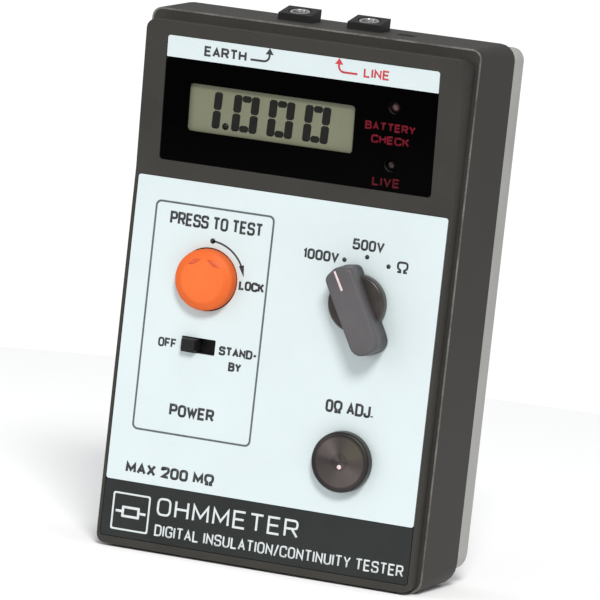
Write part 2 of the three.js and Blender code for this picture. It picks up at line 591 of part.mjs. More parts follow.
// A 4 mm socket: a metal tube, sloped at its mouth, with a solder tail below.
function socket(x) {
  const tube = rodZ(x, TERMINAL_Y, 2.8, 136, TERMINAL_TOP + 3, 28);
  const slope = new THREE.BoxGeometry(30, 40, 12);
  slope.translate(0, 0, 6);
  slope.rotateX(TERMINAL_SLOPE);
  slope.translate(x, TERMINAL_Y, socketZ);
  const hole = rodZ(x, TERMINAL_Y, 2.05, 137.5, TERMINAL_TOP + 5, 28);
  const tail = rodZ(x, TERMINAL_Y, 0.9, 131.6, 136.5, 12);
  return join(cut(tube, toSolid(slope), hole), tail);
}
function lead(x, fromX) {
  const path = new THREE.CatmullRomCurve3([
    new THREE.Vector3(x, TERMINAL_Y, 131.2),
    new THREE.Vector3(x, TERMINAL_Y, 127.5),
    new THREE.Vector3((x + fromX) / 2, TERMINAL_Y + 3, 124),
    new THREE.Vector3(fromX, TERMINAL_Y + 1.2, 121),
    new THREE.Vector3(fromX, partBase + 0.1, 119.5),
  ]);
  const section = new THREE.Shape();
  section.absarc(0, 0, 0.8, 0, 2 * Math.PI, false);
  return toSolid(new THREE.ExtrudeGeometry(section, {
    steps: 18, curveSegments: 4, extrudePath: path, bevelEnabled: false,
  }));
}
add('earth_terminal_block', terminalBlock(-TERMINAL_X), M.insulator);
add('line_terminal_block', terminalBlock(TERMINAL_X), M.insulator);
add('earth_socket', socket(-TERMINAL_X), M.brass);
add('line_socket', socket(TERMINAL_X), M.brass);
add('earth_wire', lead(-TERMINAL_X, -17), M.blackWire);
add('line_wire', lead(TERMINAL_X, 5), M.redWire);
add('strap_pin', rodX(
  (STRAP_SLOT.y0 + STRAP_SLOT.y1) / 2, CASE_TOP - 0.95, 0.65, STRAP_SLOT.x0 + 0.3, STRAP_SLOT.x1 - 0.3, 12),
M.steel);

// ---------------------------------------------------------------- batteries
const cellX = (i) => (i - (CELL.count - 1) / 2) * CELL.pitch;
function batteryTray() {
  const [z0, z1] = TRAY_Z;
  const [y0, y1] = TRAY_Y;
  const outer = slab(roundRect(-TRAY_HALF, TRAY_HALF, z0, z1, 2, 3), y0, y1);
  const inner = box(-TRAY_HALF + 1.1, TRAY_HALF - 1.1, y0 + 1.1, y1 + 1, z0 + 1.1, z1 - 1.1);
  const ribs = [1, 2, 3, 4, 5].map((i) => box(
    cellX(i) - CELL.pitch / 2 - 0.5, cellX(i) - CELL.pitch / 2 + 0.5, y0 + 1, y0 + 4.2, z0 + 6, z1 - 6));
  return join(cut(outer, inner), ...ribs);
}
add('battery_tray', batteryTray(), M.insulator);
for (let i = 0; i < CELL.count; i++) {
  const x = cellX(i);
  const up = i % 2 === 0; // which way the positive cap points
  const z0 = CELL.z + (up ? 0 : 1.2);
  const body = rodZ(x, CELL.y, CELL.radius, z0, z0 + CELL.length - 1.2, 28);
  const nub = up ? [z0 + CELL.length - 1.3, z0 + CELL.length] : [z0 - 1.2, z0 + 0.1];
  add(`cell_${i + 1}`, join(body, rodZ(x, CELL.y, 2.6, ...nub, 16)), M.cell);
}
// Contact strips: each joins two neighbouring cells at one end of the bay.
function contact(x0, x1, end) {
  const wallZ = end === 'lower' ? TRAY_Z[0] + 1.4 : TRAY_Z[1] - 1.9;
  return box(x0, x1, CELL.y - 4.5, CELL.y + 4.5, wallZ, wallZ + 0.5);
}
for (let i = 0; i < 3; i++) {
  add(`cell_link_lower_${i + 1}`, contact(cellX(2 * i) - 5, cellX(2 * i + 1) + 5, 'lower'), M.steel);
}
for (let i = 0; i < 2; i++) {
  add(`cell_link_upper_${i + 1}`, contact(cellX(2 * i + 1) - 5, cellX(2 * i + 2) + 5, 'upper'), M.steel);
}
add('cell_terminal_plus', contact(cellX(0) - 5, cellX(0) + 5, 'upper'), M.steel);
add('cell_terminal_minus', contact(cellX(5) - 5, cellX(5) + 5, 'upper'), M.steel);

export default object;
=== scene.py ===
"""Looks for the insulation resistance tester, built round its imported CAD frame.

Sizes are in millimetres until they become mesh vertices, which are in metres.
The front panel faces -Y, +Z runs up to the terminal end, X is 0 in the middle.
"""

import math

import bmesh
import bpy
from mathutils import Matrix, Vector
from mathutils.geometry import tessellate_polygon


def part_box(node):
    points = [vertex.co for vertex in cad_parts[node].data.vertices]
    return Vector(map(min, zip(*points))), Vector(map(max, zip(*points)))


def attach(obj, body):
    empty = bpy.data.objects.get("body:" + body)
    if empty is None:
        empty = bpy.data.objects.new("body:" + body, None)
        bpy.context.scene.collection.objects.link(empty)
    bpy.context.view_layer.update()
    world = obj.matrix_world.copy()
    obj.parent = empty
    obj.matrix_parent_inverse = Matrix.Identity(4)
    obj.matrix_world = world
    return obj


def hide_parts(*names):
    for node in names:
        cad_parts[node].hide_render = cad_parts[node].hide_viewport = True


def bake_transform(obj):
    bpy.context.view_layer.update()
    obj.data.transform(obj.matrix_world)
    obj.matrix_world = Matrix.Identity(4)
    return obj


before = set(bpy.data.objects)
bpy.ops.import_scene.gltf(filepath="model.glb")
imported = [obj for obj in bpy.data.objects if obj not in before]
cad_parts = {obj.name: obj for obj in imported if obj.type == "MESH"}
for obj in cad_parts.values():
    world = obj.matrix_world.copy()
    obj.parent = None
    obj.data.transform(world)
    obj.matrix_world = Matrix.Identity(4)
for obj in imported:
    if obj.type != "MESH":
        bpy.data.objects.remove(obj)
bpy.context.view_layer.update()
scene = bpy.context.scene

MM = 0.001


# ------------------------------------------------------------ sizes, from the frame where it has them
PANEL_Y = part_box("front_panel")[0].y / MM
BUTTON_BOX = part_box("test_button_cap")
ZERO_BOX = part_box("zero_knob")


def middle(box):
    """The X and Z of the middle of a box, in millimetres."""
    low, high = box
    return (low.x + high.x) / 2 / MM, (low.z + high.z) / 2 / MM


def half_width(box):
    low, high = box
    return (high.x - low.x) / 2 / MM


def above_panel(box):
    """How far the back and the front of a box stand in front of the panel."""
    low, high = box
    return PANEL_Y - high.y / MM, PANEL_Y - low.y / MM


BUTTON_X, BUTTON_Z = middle(BUTTON_BOX)
SELECTOR_X, SELECTOR_Z = middle(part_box("selector_shaft"))
SELECTOR_REST = math.radians(28)  # the bar's lean to the left at its first stop
ZERO_X, ZERO_Z = middle(ZERO_BOX)
ZERO_RADIUS = half_width(ZERO_BOX)
HEAD_Z = 103.6  # where the face kinks forward into the display head
HEAD_TILT = math.atan2(4.4, 42.2)  # the head leans 4.4 forward over its height of 42.2
HEAD_SINK = 0.15  # its window and label plate lie this far below its face
LCD_SINK = 1.3  # and the LCD glass this far
INK = 0.05  # how far a print stands proud of its face


# ------------------------------------------------------------ camera
CAMERA_TURN = math.radians(19.94)  # round to the object's right
CAMERA_RISE = math.radians(6.45)
CAMERA_ROLL = math.radians(-6.36)
CAMERA_DISTANCE = 1639.5
CAMERA_TARGET = (0.1, 0.0, 73.45)
SENSOR_WIDTH = 36.0
LENS = 360.0


def aim_camera():
    """A long lens at the height of the case's middle, to its right and a little above."""
    forward = Vector((
        -math.sin(CAMERA_TURN) * math.cos(CAMERA_RISE),
        math.cos(CAMERA_TURN) * math.cos(CAMERA_RISE),
        -math.sin(CAMERA_RISE)))
    level = Vector((math.cos(CAMERA_TURN), math.sin(CAMERA_TURN), 0.0))
    above = level.cross(forward)
    right = level * math.cos(CAMERA_ROLL) - above * math.sin(CAMERA_ROLL)
    up = level * math.sin(CAMERA_ROLL) + above * math.cos(CAMERA_ROLL)
    data = bpy.data.cameras.new("camera")
    data.sensor_width = SENSOR_WIDTH
    data.lens = LENS
    data.clip_start = 0.05
    data.clip_end = 50.0
    camera = bpy.data.objects.new("camera", data)
    scene.collection.objects.link(camera)
    place = Matrix((right, up, -forward)).transposed().to_4x4()
    place.translation = (Vector(CAMERA_TARGET) - forward * CAMERA_DISTANCE) * MM
    camera.matrix_world = place
    scene.camera = camera


aim_camera()


# ------------------------------------------------------------ materials
ROUGH_SPREAD = 0.08
COAT_ROUGH = 0.12


def tinted(colour, factor):
    return tuple(min(1.0, channel * factor) for channel in colour)


def add_noise(tree, place, scale, detail):
    noise = tree.nodes.new("ShaderNodeTexNoise")
    noise.inputs["Scale"].default_value = scale
    noise.inputs["Detail"].default_value = detail
    tree.links.new(place, noise.inputs["Vector"])
    return noise.outputs["Fac"]


def add_ramp(tree, value, stops, interpolation="LINEAR"):
    """A colour ramp over a value from 0 to 1; stops are (place, colour)."""
    ramp = tree.nodes.new("ShaderNodeValToRGB")
    ramp.color_ramp.interpolation = interpolation
    marks = ramp.color_ramp.elements
    while len(marks) < len(stops):
        marks.new(0.5)
    for mark, (place, colour) in zip(marks, stops):
        mark.position = place
        mark.color = (*colour, 1.0)
    tree.links.new(value, ramp.inputs["Fac"])
    return ramp.outputs["Color"]


def multiply_colours(tree, first, second):
    blend = tree.nodes.new("ShaderNodeMix")
    blend.data_type = "RGBA"
    blend.blend_type = "MULTIPLY"
    blend.inputs["Factor"].default_value = 1.0
    tree.links.new(first, blend.inputs["A"])
    tree.links.new(second, blend.inputs["B"])
    return blend.outputs["Result"]


def surface(name, colour, rough, spread, blotch, grain, bump, depth,
            metallic=0.0, specular=0.5, coat=0.0):
    """A material whose colour, roughness and fine relief vary over the surface by noise.

    spread is how far the colour strays, blotch and grain are the scales of the coarse and the
    fine noise, and bump and depth are the strength and the height (mm) of the relief."""
    mat = bpy.data.materials.new(name)
    mat.use_nodes = True
    tree = mat.node_tree
    nodes, link = tree.nodes, tree.links.new
    shader = nodes["Principled BSDF"]
    shader.inputs["Metallic"].default_value = metallic
    shader.inputs["Specular IOR Level"].default_value = specular
    shader.inputs["Coat Weight"].default_value = coat
    shader.inputs["Coat Roughness"].default_value = COAT_ROUGH
    place = nodes.new("ShaderNodeTexCoord").outputs["Object"]
    clouds = add_noise(tree, place, blotch, 5.0)
    speckle = add_noise(tree, place, grain, 2.0)

    tone = add_ramp(tree, clouds, [
        (0.3, tinted(colour, 1 - spread)), (0.7, tinted(colour, 1 + spread))])
    flecks = add_ramp(tree, speckle, [(0.35, (1 - spread * 0.7,) * 3), (0.65, (1.0, 1.0, 1.0))])
    link(multiply_colours(tree, tone, flecks), shader.inputs["Base Color"])

    polish = nodes.new("ShaderNodeMapRange")
    polish.inputs["To Min"].default_value = max(0.02, rough - ROUGH_SPREAD)
    polish.inputs["To Max"].default_value = min(1.0, rough + ROUGH_SPREAD)
    link(clouds, polish.inputs["Value"])
    link(polish.outputs["Result"], shader.inputs["Roughness"])

    relief = nodes.new("ShaderNodeBump")
    relief.inputs["Strength"].default_value = bump
    relief.inputs["Distance"].default_value = depth * MM
    link(speckle, relief.inputs["Height"])
    link(relief.outputs["Normal"], shader.inputs["Normal"])
    return mat


def ink(name, colour, spread, specular=0.5):
    """A printed colour, matt and almost flat."""
    return surface(name, colour, 0.5, spread, 800, 6000, 0.1, 0.01, specular=specular)


def spun(mat, sheen=0.75):
    """Adds to a material the stretched sheen of a face turned about an axis along Y."""
    nodes, link = mat.node_tree.nodes, mat.node_tree.links.new
    shader = nodes["Principled BSDF"]
    shader.inputs["Anisotropic"].default_value = sheen
    tangent = nodes.new("ShaderNodeTangent")
    tangent.direction_type = "RADIAL"
    tangent.axis = "Y"
    link(tangent.outputs["Tangent"], shader.inputs["Tangent"])
    return mat


def tint_around(mat, centre, stops, reach=None):
    """Multiplies a material's colour by a ramp about an axis along Y through centre.

    The ramp runs over the radius from 0 to reach, or round the circle where reach is None."""
    tree = mat.node_tree
    nodes, link = tree.nodes, tree.links.new
    colour = nodes["Principled BSDF"].inputs["Base Color"]
    before = colour.links[0].from_socket
    shift = nodes.new("ShaderNodeVectorMath")
    shift.operation = "SUBTRACT"
    shift.inputs[1].default_value = (centre[0] * MM, 0.0, centre[1] * MM)
    link(nodes.new("ShaderNodeTexCoord").outputs["Object"], shift.inputs[0])
    along = nodes.new("ShaderNodeMapRange")
    split = nodes.new("ShaderNodeSeparateXYZ")
    link(shift.outputs["Vector"], split.inputs["Vector"])
    if reach is None:
        angle = nodes.new("ShaderNodeMath")
        angle.operation = "ARCTAN2"
        link(split.outputs["Z"], angle.inputs[0])
        link(split.outputs["X"], angle.inputs[1])
        along.inputs["From Min"].default_value = -math.pi
        along.inputs["From Max"].default_value = math.pi
        link(angle.outputs["Value"], along.inputs["Value"])
    else:
        flat = nodes.new("ShaderNodeCombineXYZ")
        link(split.outputs["X"], flat.inputs["X"])
        link(split.outputs["Z"], flat.inputs["Z"])
        radius = nodes.new("ShaderNodeVectorMath")
        radius.operation = "LENGTH"
        link(flat.outputs["Vector"], radius.inputs[0])
        along.inputs["From Max"].default_value = reach * MM
        link(radius.outputs["Value"], along.inputs["Value"])
    stops = [(place, tint if isinstance(tint, tuple) else (tint,) * 3) for place, tint in stops]
    ramp = add_ramp(tree, along.outputs["Result"], stops, "EASE")
    link(multiply_colours(tree, before, ramp), colour)


# After the colour: roughness, spread, blotch, grain, bump and depth.
CASE = surface("case_plastic", (0.030, 0.0275, 0.0235), 0.6, 0.14, 60, 2600, 0.35, 0.05,
               specular=0.3)
# The edge materials, laid on the rounded edges, are lighter than their plastics: partly wear, partly
# painted highlight.
CASE_EDGE = surface("case_edge_wear_and_highlight", (0.15, 0.145, 0.13), 0.5, 0.45, 160, 2600, 0.3, 0.05)
COVER = surface("cover_plastic", (0.37, 0.365, 0.35), 0.55, 0.06, 60, 2600, 0.3, 0.05,
                specular=0.3)
COVER_EDGE = surface("cover_edge_wear_and_highlight", (0.45, 0.445, 0.43), 0.5, 0.15, 160, 2600, 0.3, 0.05)
PANEL = surface("panel_enamel", (0.555, 0.625, 0.635), 0.36, 0.02, 45, 1500, 0.05, 0.02,
                specular=0.3)
PLATE = surface("name_plate_enamel", (0.019, 0.0215, 0.021), 0.4, 0.15, 50, 1800, 0.06, 0.02,
                specular=0.2)
WINDOW = surface("smoked_window", (0.0003, 0.0003, 0.0003), 0.09, 0.1, 40, 400, 0.01, 0.01,
                 specular=0.02)
LCD = surface("lcd_film", (0.155, 0.16, 0.105), 0.3, 0.07, 30, 900, 0.05, 0.01, specular=0.3)
SEGMENT = surface("lcd_segment", (0.006, 0.006, 0.005), 0.35, 0.2, 200, 3000, 0.05, 0.01,
                  specular=0.2)
LED = surface("led_lens", (0.10, 0.045, 0.05), 0.3, 0.15, 300, 3000, 0.05, 0.01)
LED_DULL = surface("live_led_lens", (0.022, 0.012, 0.012), 0.2, 0.15, 300, 3000, 0.05, 0.01)
ORANGE = surface("button_plastic", (0.71, 0.122, 0.018), 0.55, 0.05, 120, 3500, 0.12, 0.02,
                 specular=0.25)
# painted shade: a darker orange for two leaf-shaped patches on the button, in place of shallow
# cut-outs
ORANGE_DARK = surface("button_recess_shade", (0.56, 0.07, 0.012), 0.42, 0.08, 150, 3500, 0.12, 0.02)
KNOB = surface("selector_plastic", (0.092, 0.087, 0.091), 0.45, 0.1, 90, 3500, 0.2, 0.03,
               specular=0.2)
SKIRT = surface("selector_skirt_plastic", (0.046, 0.039, 0.035), 0.3, 0.3, 200, 3500, 0.1, 0.02,
                specular=0.3)
ZERO = spun(surface("zero_knob_plastic", (0.062, 0.050, 0.048), 0.36, 0.1, 90, 3500, 0.1, 0.02,
                    specular=0.25))
BLACK = surface("black_plastic", (0.008, 0.0075, 0.007), 0.5, 0.15, 150, 3500, 0.2, 0.03,
                specular=0.25)
CREAM = surface("cream_plastic", (0.62, 0.55, 0.42), 0.45, 0.05, 120, 3000, 0.1, 0.02)
STEEL = surface("steel", (0.56, 0.56, 0.57), 0.3, 0.08, 300, 5000, 0.1, 0.01, metallic=1.0)
BOARD = surface("board_laminate", (0.03, 0.11, 0.045), 0.4, 0.15, 200, 2500, 0.1, 0.02)
COPPER = surface("copper_tape", (0.55, 0.26, 0.11), 0.4, 0.1, 200, 3000, 0.1, 0.02, metallic=0.6)
COAT = surface("resistor_coat", (0.42, 0.16, 0.06), 0.45, 0.1, 300, 3000, 0.1, 0.02)
GLASS = surface("fuse_glass", (0.6, 0.68, 0.7), 0.1, 0.03, 200, 2000, 0.02, 0.01)
JACKET = surface("cell_jacket", (0.03, 0.11, 0.30), 0.3, 0.08, 120, 2500, 0.05, 0.01, coat=0.4)
WIRE_BLACK = surface("wire_black", (0.012, 0.012, 0.012), 0.5, 0.1, 300, 3000, 0.1, 0.02)
WIRE_RED = surface("wire_red", (0.45, 0.02, 0.02), 0.5, 0.1, 300, 3000, 0.1, 0.02)
INK_DARK = ink("ink_dark", (0.020, 0.021, 0.023), 0.2)
INK_LINE = ink("ink_line", (0.085, 0.095, 0.105), 0.2)
INK_WHITE = ink("ink_white", (0.56, 0.60, 0.60), 0.05)
INK_RED = ink("ink_red", (0.50, 0.03, 0.045), 0.15)
INK_DIM = ink("ink_dim_red", (0.12, 0.003, 0.012), 0.2, specular=0.1)
INK_FAINT = ink("ink_faint_red", (0.07, 0.003, 0.008), 0.2, specular=0.1)
INK_PINK = ink("ink_pink", (0.66, 0.52, 0.52), 0.08)

# Painted light: the button's face is tinted paler as a painted highlight, and its sloping rim darker
# as painted shade.
# The zero knob's turned face gets painted highlight and shade sectors, from the left and round below,
# painted shade at its rim and a darker middle.
tint_around(ORANGE, (BUTTON_X, BUTTON_Z), [
    (0.0, (1.0, 1.12, 1.5)), (0.55, (1.0, 1.1, 1.4)), (0.66, 0.93), (1.0, 0.9)], reach=10.0)
# painted highlight and shade: light and dark sectors round the zero knob's face, standing in for the
# sheen of its turned rings
tint_around(ZERO, (ZERO_X, ZERO_Z), [
    (0.0, 0.55), (0.13, 0.75), (0.27, 1.2), (0.40, 1.35), (0.50, 0.8), (0.58, (1.0, 1.05, 0.85)),
    (0.68, (0.95, 1.0, 0.8)), (0.76, 0.7), (0.86, 1.5), (0.93, 1.1), (1.0, 0.55)])
# painted shade darkening the zero knob towards its rim, and a darker middle
tint_around(ZERO, (ZERO_X, ZERO_Z), [
    (0.0, 0.7), (0.26, 0.72), (0.32, 1.0), (0.78, 1.0), (0.86, 0.35), (1.0, 0.22)],
    reach=ZERO_RADIUS)


# ------------------------------------------------------------ rounded edges and smooth shading
HARD_EDGE = 28.0  # edges sharper than this many degrees are rounded
CAD_WELD, PIECE_WELD = 0.002, 0.0005  # points closer than this are one
CAD_FLATNESS, PIECE_FLATNESS = 0.6, 0.3  # facets within this many degrees are one face


def round_edges(obj, width, steps, flatness):
    """Joins the facets of each flat face, then bevels the hard edges that are left."""
    flat = obj.modifiers.new("flat", "DECIMATE")
    flat.decimate_type = "DISSOLVE"
    flat.angle_limit = math.radians(flatness)
    bevel = obj.modifiers.new("edge", "BEVEL")
    bevel.width = width * MM
    bevel.segments = steps
    bevel.limit_method = "ANGLE"
    bevel.angle_limit = math.radians(HARD_EDGE)
    return bevel


def shade_smooth(obj):
    """Smooth shading in which the large faces stay flat."""
    obj.data.shade_smooth()
    normals = obj.modifiers.new("normals", "WEIGHTED_NORMAL")
    normals.keep_sharp = True
    normals.weight = 80


# ------------------------------------------------------------ CAD nodes: finish and rounded edges
def dress(node, mat, edge=0.0, steps=2, edge_wear_and_highlight=None):
    """Gives a CAD node its material, and rounds its hard edges by edge millimetres.

    The rounding takes the lighter edge material where one is given: partly wear, partly painted
    highlight."""
    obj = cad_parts[node]
    obj.data.materials.clear()
    obj.data.materials.append(mat)
    if edge <= 0:
        return
    weld = obj.modifiers.new("weld", "WELD")
    weld.merge_threshold = CAD_WELD * MM
    bevel = round_edges(obj, edge, steps, CAD_FLATNESS)
    # the bevel takes the lighter edge material: partly wear, partly painted highlight
    if edge_wear_and_highlight:
        obj.data.materials.append(edge_wear_and_highlight)
        bevel.material = 1
    if obj.data.has_custom_normals:
        obj.data.attributes.remove(obj.data.attributes["custom_normal"])
    shade_smooth(obj)


OUTER = {
    "front_case": (CASE, 0.55, 3, CASE_EDGE),
    "rear_cover": (COVER, 0.35, 3, COVER_EDGE),
    "battery_cover": (COVER, 0.25, 2, COVER_EDGE),
    "battery_cover_screw": (STEEL, 0.12),
    "case_screw_1": (STEEL, 0.15),
    "case_screw_2": (STEEL, 0.15),
    "case_screw_3": (STEEL, 0.15),
    "case_screw_4": (STEEL, 0.15),
    "front_panel": (PANEL,),
    "name_plate": (PLATE,),
    "terminal_label_plate": (PANEL,),
    "power_slider": (BLACK, 0.15),
    "earth_terminal_block": (BLACK, 0.25),
    "line_terminal_block": (BLACK, 0.25),
    "earth_socket": (STEEL, 0.1),
    "line_socket": (STEEL, 0.1),
    "strap_pin": (BLACK, 0.1),
    "battery_tray": (BLACK, 0.2),
}
INNER = {
    LCD: ["lcd_glass"],
    LED: ["battery_led"],
    LED_DULL: ["live_led"],
    BLACK: ["lcd_frame", "test_switch_body", "selector_switch_body", "hv_capacitor_1",
            "hv_capacitor_2", "converter_chip", "control_chip"],
    BOARD: ["display_board", "main_board"],
    CREAM: ["test_button_plunger"],
    STEEL: ["test_button_spring", "selector_shaft", "power_switch_body", "zero_shaft",
            "zero_potentiometer", "fuse_holder", "cell_terminal_plus", "cell_terminal_minus",
            "cell_link_lower_1", "cell_link_lower_2", "cell_link_lower_3",
            "cell_link_upper_1", "cell_link_upper_2"],
    COPPER: ["inverter_transformer"],
    COAT: ["range_resistor_1", "range_resistor_2"],
    GLASS: ["fuse"],
    JACKET: [f"cell_{number}" for number in range(1, 7)],
    WIRE_BLACK: ["earth_wire"],
    WIRE_RED: ["line_wire"],
}
for node, looks in OUTER.items():
    dress(node, *looks)
for mat, names in INNER.items():
    for node in names:
        dress(node, mat)


# ------------------------------------------------------------ mesh helpers
NO_AREA = 1e-12
ON_AXIS = 1e-6
CORNER_STEPS = 5
MITRE_LIMIT = 1.5
SHARPEST_TURN = 0.05
HALF_SIDE = 0.499  # a rounded corner takes at most this share of each side


class Solid:
    """Closed shapes gathered in one mesh, in the coordinates (u, v, w) of the face they sit on.

    u runs to the right, v up the face and w out of it, all in millimetres."""

    def __init__(self):
        self.points = []
        self.faces = []

    def plate(self, outer, holes, low, high):
        """A flat plate between w = low and w = high, with holes through it."""
        loops = [outer, *holes]
        flat = [Vector((u, v, 0.0)) for loop in loops for u, v in loop]
        count, start = len(flat), len(self.points)
        self.points += [(p.x, p.y, low) for p in flat] + [(p.x, p.y, high) for p in flat]
        triangles = tessellate_polygon([[Vector((u, v, 0.0)) for u, v in loop] for loop in loops])
        for a, b, c in triangles:
            turn = (flat[b] - flat[a]).cross(flat[c] - flat[a]).z
            if abs(turn) < NO_AREA:
                continue
            if turn < 0:
                b, c = c, b
            self.faces.append((start + count + a, start + count + b, start + count + c))
            self.faces.append((start + a, start + c, start + b))
        first = 0
        for number, loop in enumerate(loops):
            outward = (signed_area(loop) > 0) == (number == 0)
            for i in range(len(loop)):
                a, b = start + first + i, start + first + (i + 1) % len(loop)
                wall = (a, b, b + count, a + count)
                self.faces.append(wall if outward else wall[::-1])
            first += len(loop)
        return self

    def turned(self, centre, profile, sides=96):
        """A body of revolution about w; profile is (radius, w) from the back to the front axis."""
        rows = []
        for radius, w in profile:
            if radius < ON_AXIS:
                rows.append([len(self.points)])
                self.points.append((centre[0], centre[1], w))
                continue
            rows.append(list(range(len(self.points), len(self.points) + sides)))
            self.points += [(u, v, w) for u, v in circle(*centre, radius, sides)]
        for low, high in zip(rows, rows[1:]):
            for i in range(sides):
                j = (i + 1) % sides
                if len(low) == 1 and len(high) > 1:
                    self.faces.append((low[0], high[j], high[i]))
                elif len(high) == 1 and len(low) > 1:
                    self.faces.append((low[i], low[j], high[0]))
                elif len(low) > 1:
                    self.faces.append((low[i], low[j], high[j], high[i]))
        return self

    def piece(self, name, place, body, mat, slot=None, edge=0.0):
        """Makes the object, moves it to its face with place and lets it ride on a body."""
        mesh = bpy.data.meshes.new(name)
        mesh.from_pydata([place(*p) for p in self.points], [], self.faces)
        return settle(name, mesh, body, mat, edge)


def settle(name, mesh, body, mat, edge=0.0):
    """Cleans a mesh, makes it an object and gives it its body, material and edges."""
    clean = bmesh.new()
    clean.from_mesh(mesh)
    bmesh.ops.remove_doubles(clean, verts=clean.verts, dist=PIECE_WELD * MM)
    bmesh.ops.recalc_face_normals(clean, faces=clean.faces)
    clean.to_mesh(mesh)
    clean.free()
    mesh.materials.append(mat)
    obj = bpy.data.objects.new(name, mesh)
    scene.collection.objects.link(obj)
    if edge > 0:
        round_edges(obj, edge, 2, PIECE_FLATNESS)
    shade_smooth(obj)
    if body:
        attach(obj, body)
    return obj


def signed_area(loop):
    """Twice the area of a loop of points, above 0 where it runs anticlockwise."""
    return sum(loop[i - 1][0] * loop[i][1] - loop[i][0] * loop[i - 1][1]
               for i in range(len(loop)))


def on_panel(u, v, w):
    """A point on the front panel, w in front of it."""
    return (u * MM, (PANEL_Y - w) * MM, v * MM)


def on_head(u, v, w):
    """A point on the display head at the height v, w in front of the window."""
    slope = (v - HEAD_Z) / math.cos(HEAD_TILT)
    back = HEAD_SINK - w
    return (
        u * MM,
        (PANEL_Y - slope * math.sin(HEAD_TILT) + back * math.cos(HEAD_TILT)) * MM,
        (HEAD_Z + slope * math.cos(HEAD_TILT) + back * math.sin(HEAD_TILT)) * MM)


def up_head(slope):
    """The height in the frame of a point this far up the head's slope."""
    return HEAD_Z + slope * math.cos(HEAD_TILT)


def round_rect(span, radius, steps=6):
    """A rectangle with round corners; span is (u0, u1, v0, v1)."""
    u0, u1, v0, v1 = span
    points = []
    for cu, cv, start in ((u1 - radius, v1 - radius, 0), (u0 + radius, v1 - radius, 90),
                          (u0 + radius, v0 + radius, 180), (u1 - radius, v0 + radius, 270)):
        points += arc(cu, cv, radius, start, start + 90, steps)
    return points


def inset(span, distance):
    u0, u1, v0, v1 = span
    return u0 + distance, u1 - distance, v0 + distance, v1 - distance


def polar(u, v, radius, angle):
    """The point of a circle at an angle in degrees."""
    turn = math.radians(angle)
    return u + radius * math.cos(turn), v + radius * math.sin(turn)


def circle(u, v, radius, sides):
    return [polar(u, v, radius, 360 * i / sides) for i in range(sides)]


def arc(u, v, radius, start, end, steps):
    """Points on a circle from the angle start to the angle end, in degrees."""
    return [polar(u, v, radius, start + (end - start) * i / steps) for i in range(steps + 1)]


def ribbon(path, width):
    """The outline of a line of even width that follows an open path."""
    left, right = [], []
    for i, (u, v) in enumerate(path):
        before, after = path[max(i - 1, 0)], path[min(i + 1, len(path) - 1)]
        du, dv = after[0] - before[0], after[1] - before[1]
        size = math.hypot(du, dv)
        nu, nv = -dv / size * width / 2, du / size * width / 2
        left.append((u + nu, v + nv))
        right.append((u - nu, v - nv))
    return left + right[::-1]


def arrow_head(tip, direction, length, width):
    """A triangle whose tip points in a direction given in degrees."""
    du, dv = polar(0.0, 0.0, 1.0, direction)
    base = (tip[0] - du * length, tip[1] - dv * length)
    return [tip, (base[0] - dv * width / 2, base[1] + du * width / 2),
            (base[0] + dv * width / 2, base[1] - du * width / 2)]


def print_shapes(name, outlines, place, mat, holes=()):
    """Flat shapes printed on a face. holes go with the first outline."""
    shapes = Solid()
    for number, outline in enumerate(outlines):
        shapes.plate(outline, holes if number == 0 else (), -INK / 2, INK)
    return shapes.piece(name, place, "case", mat)


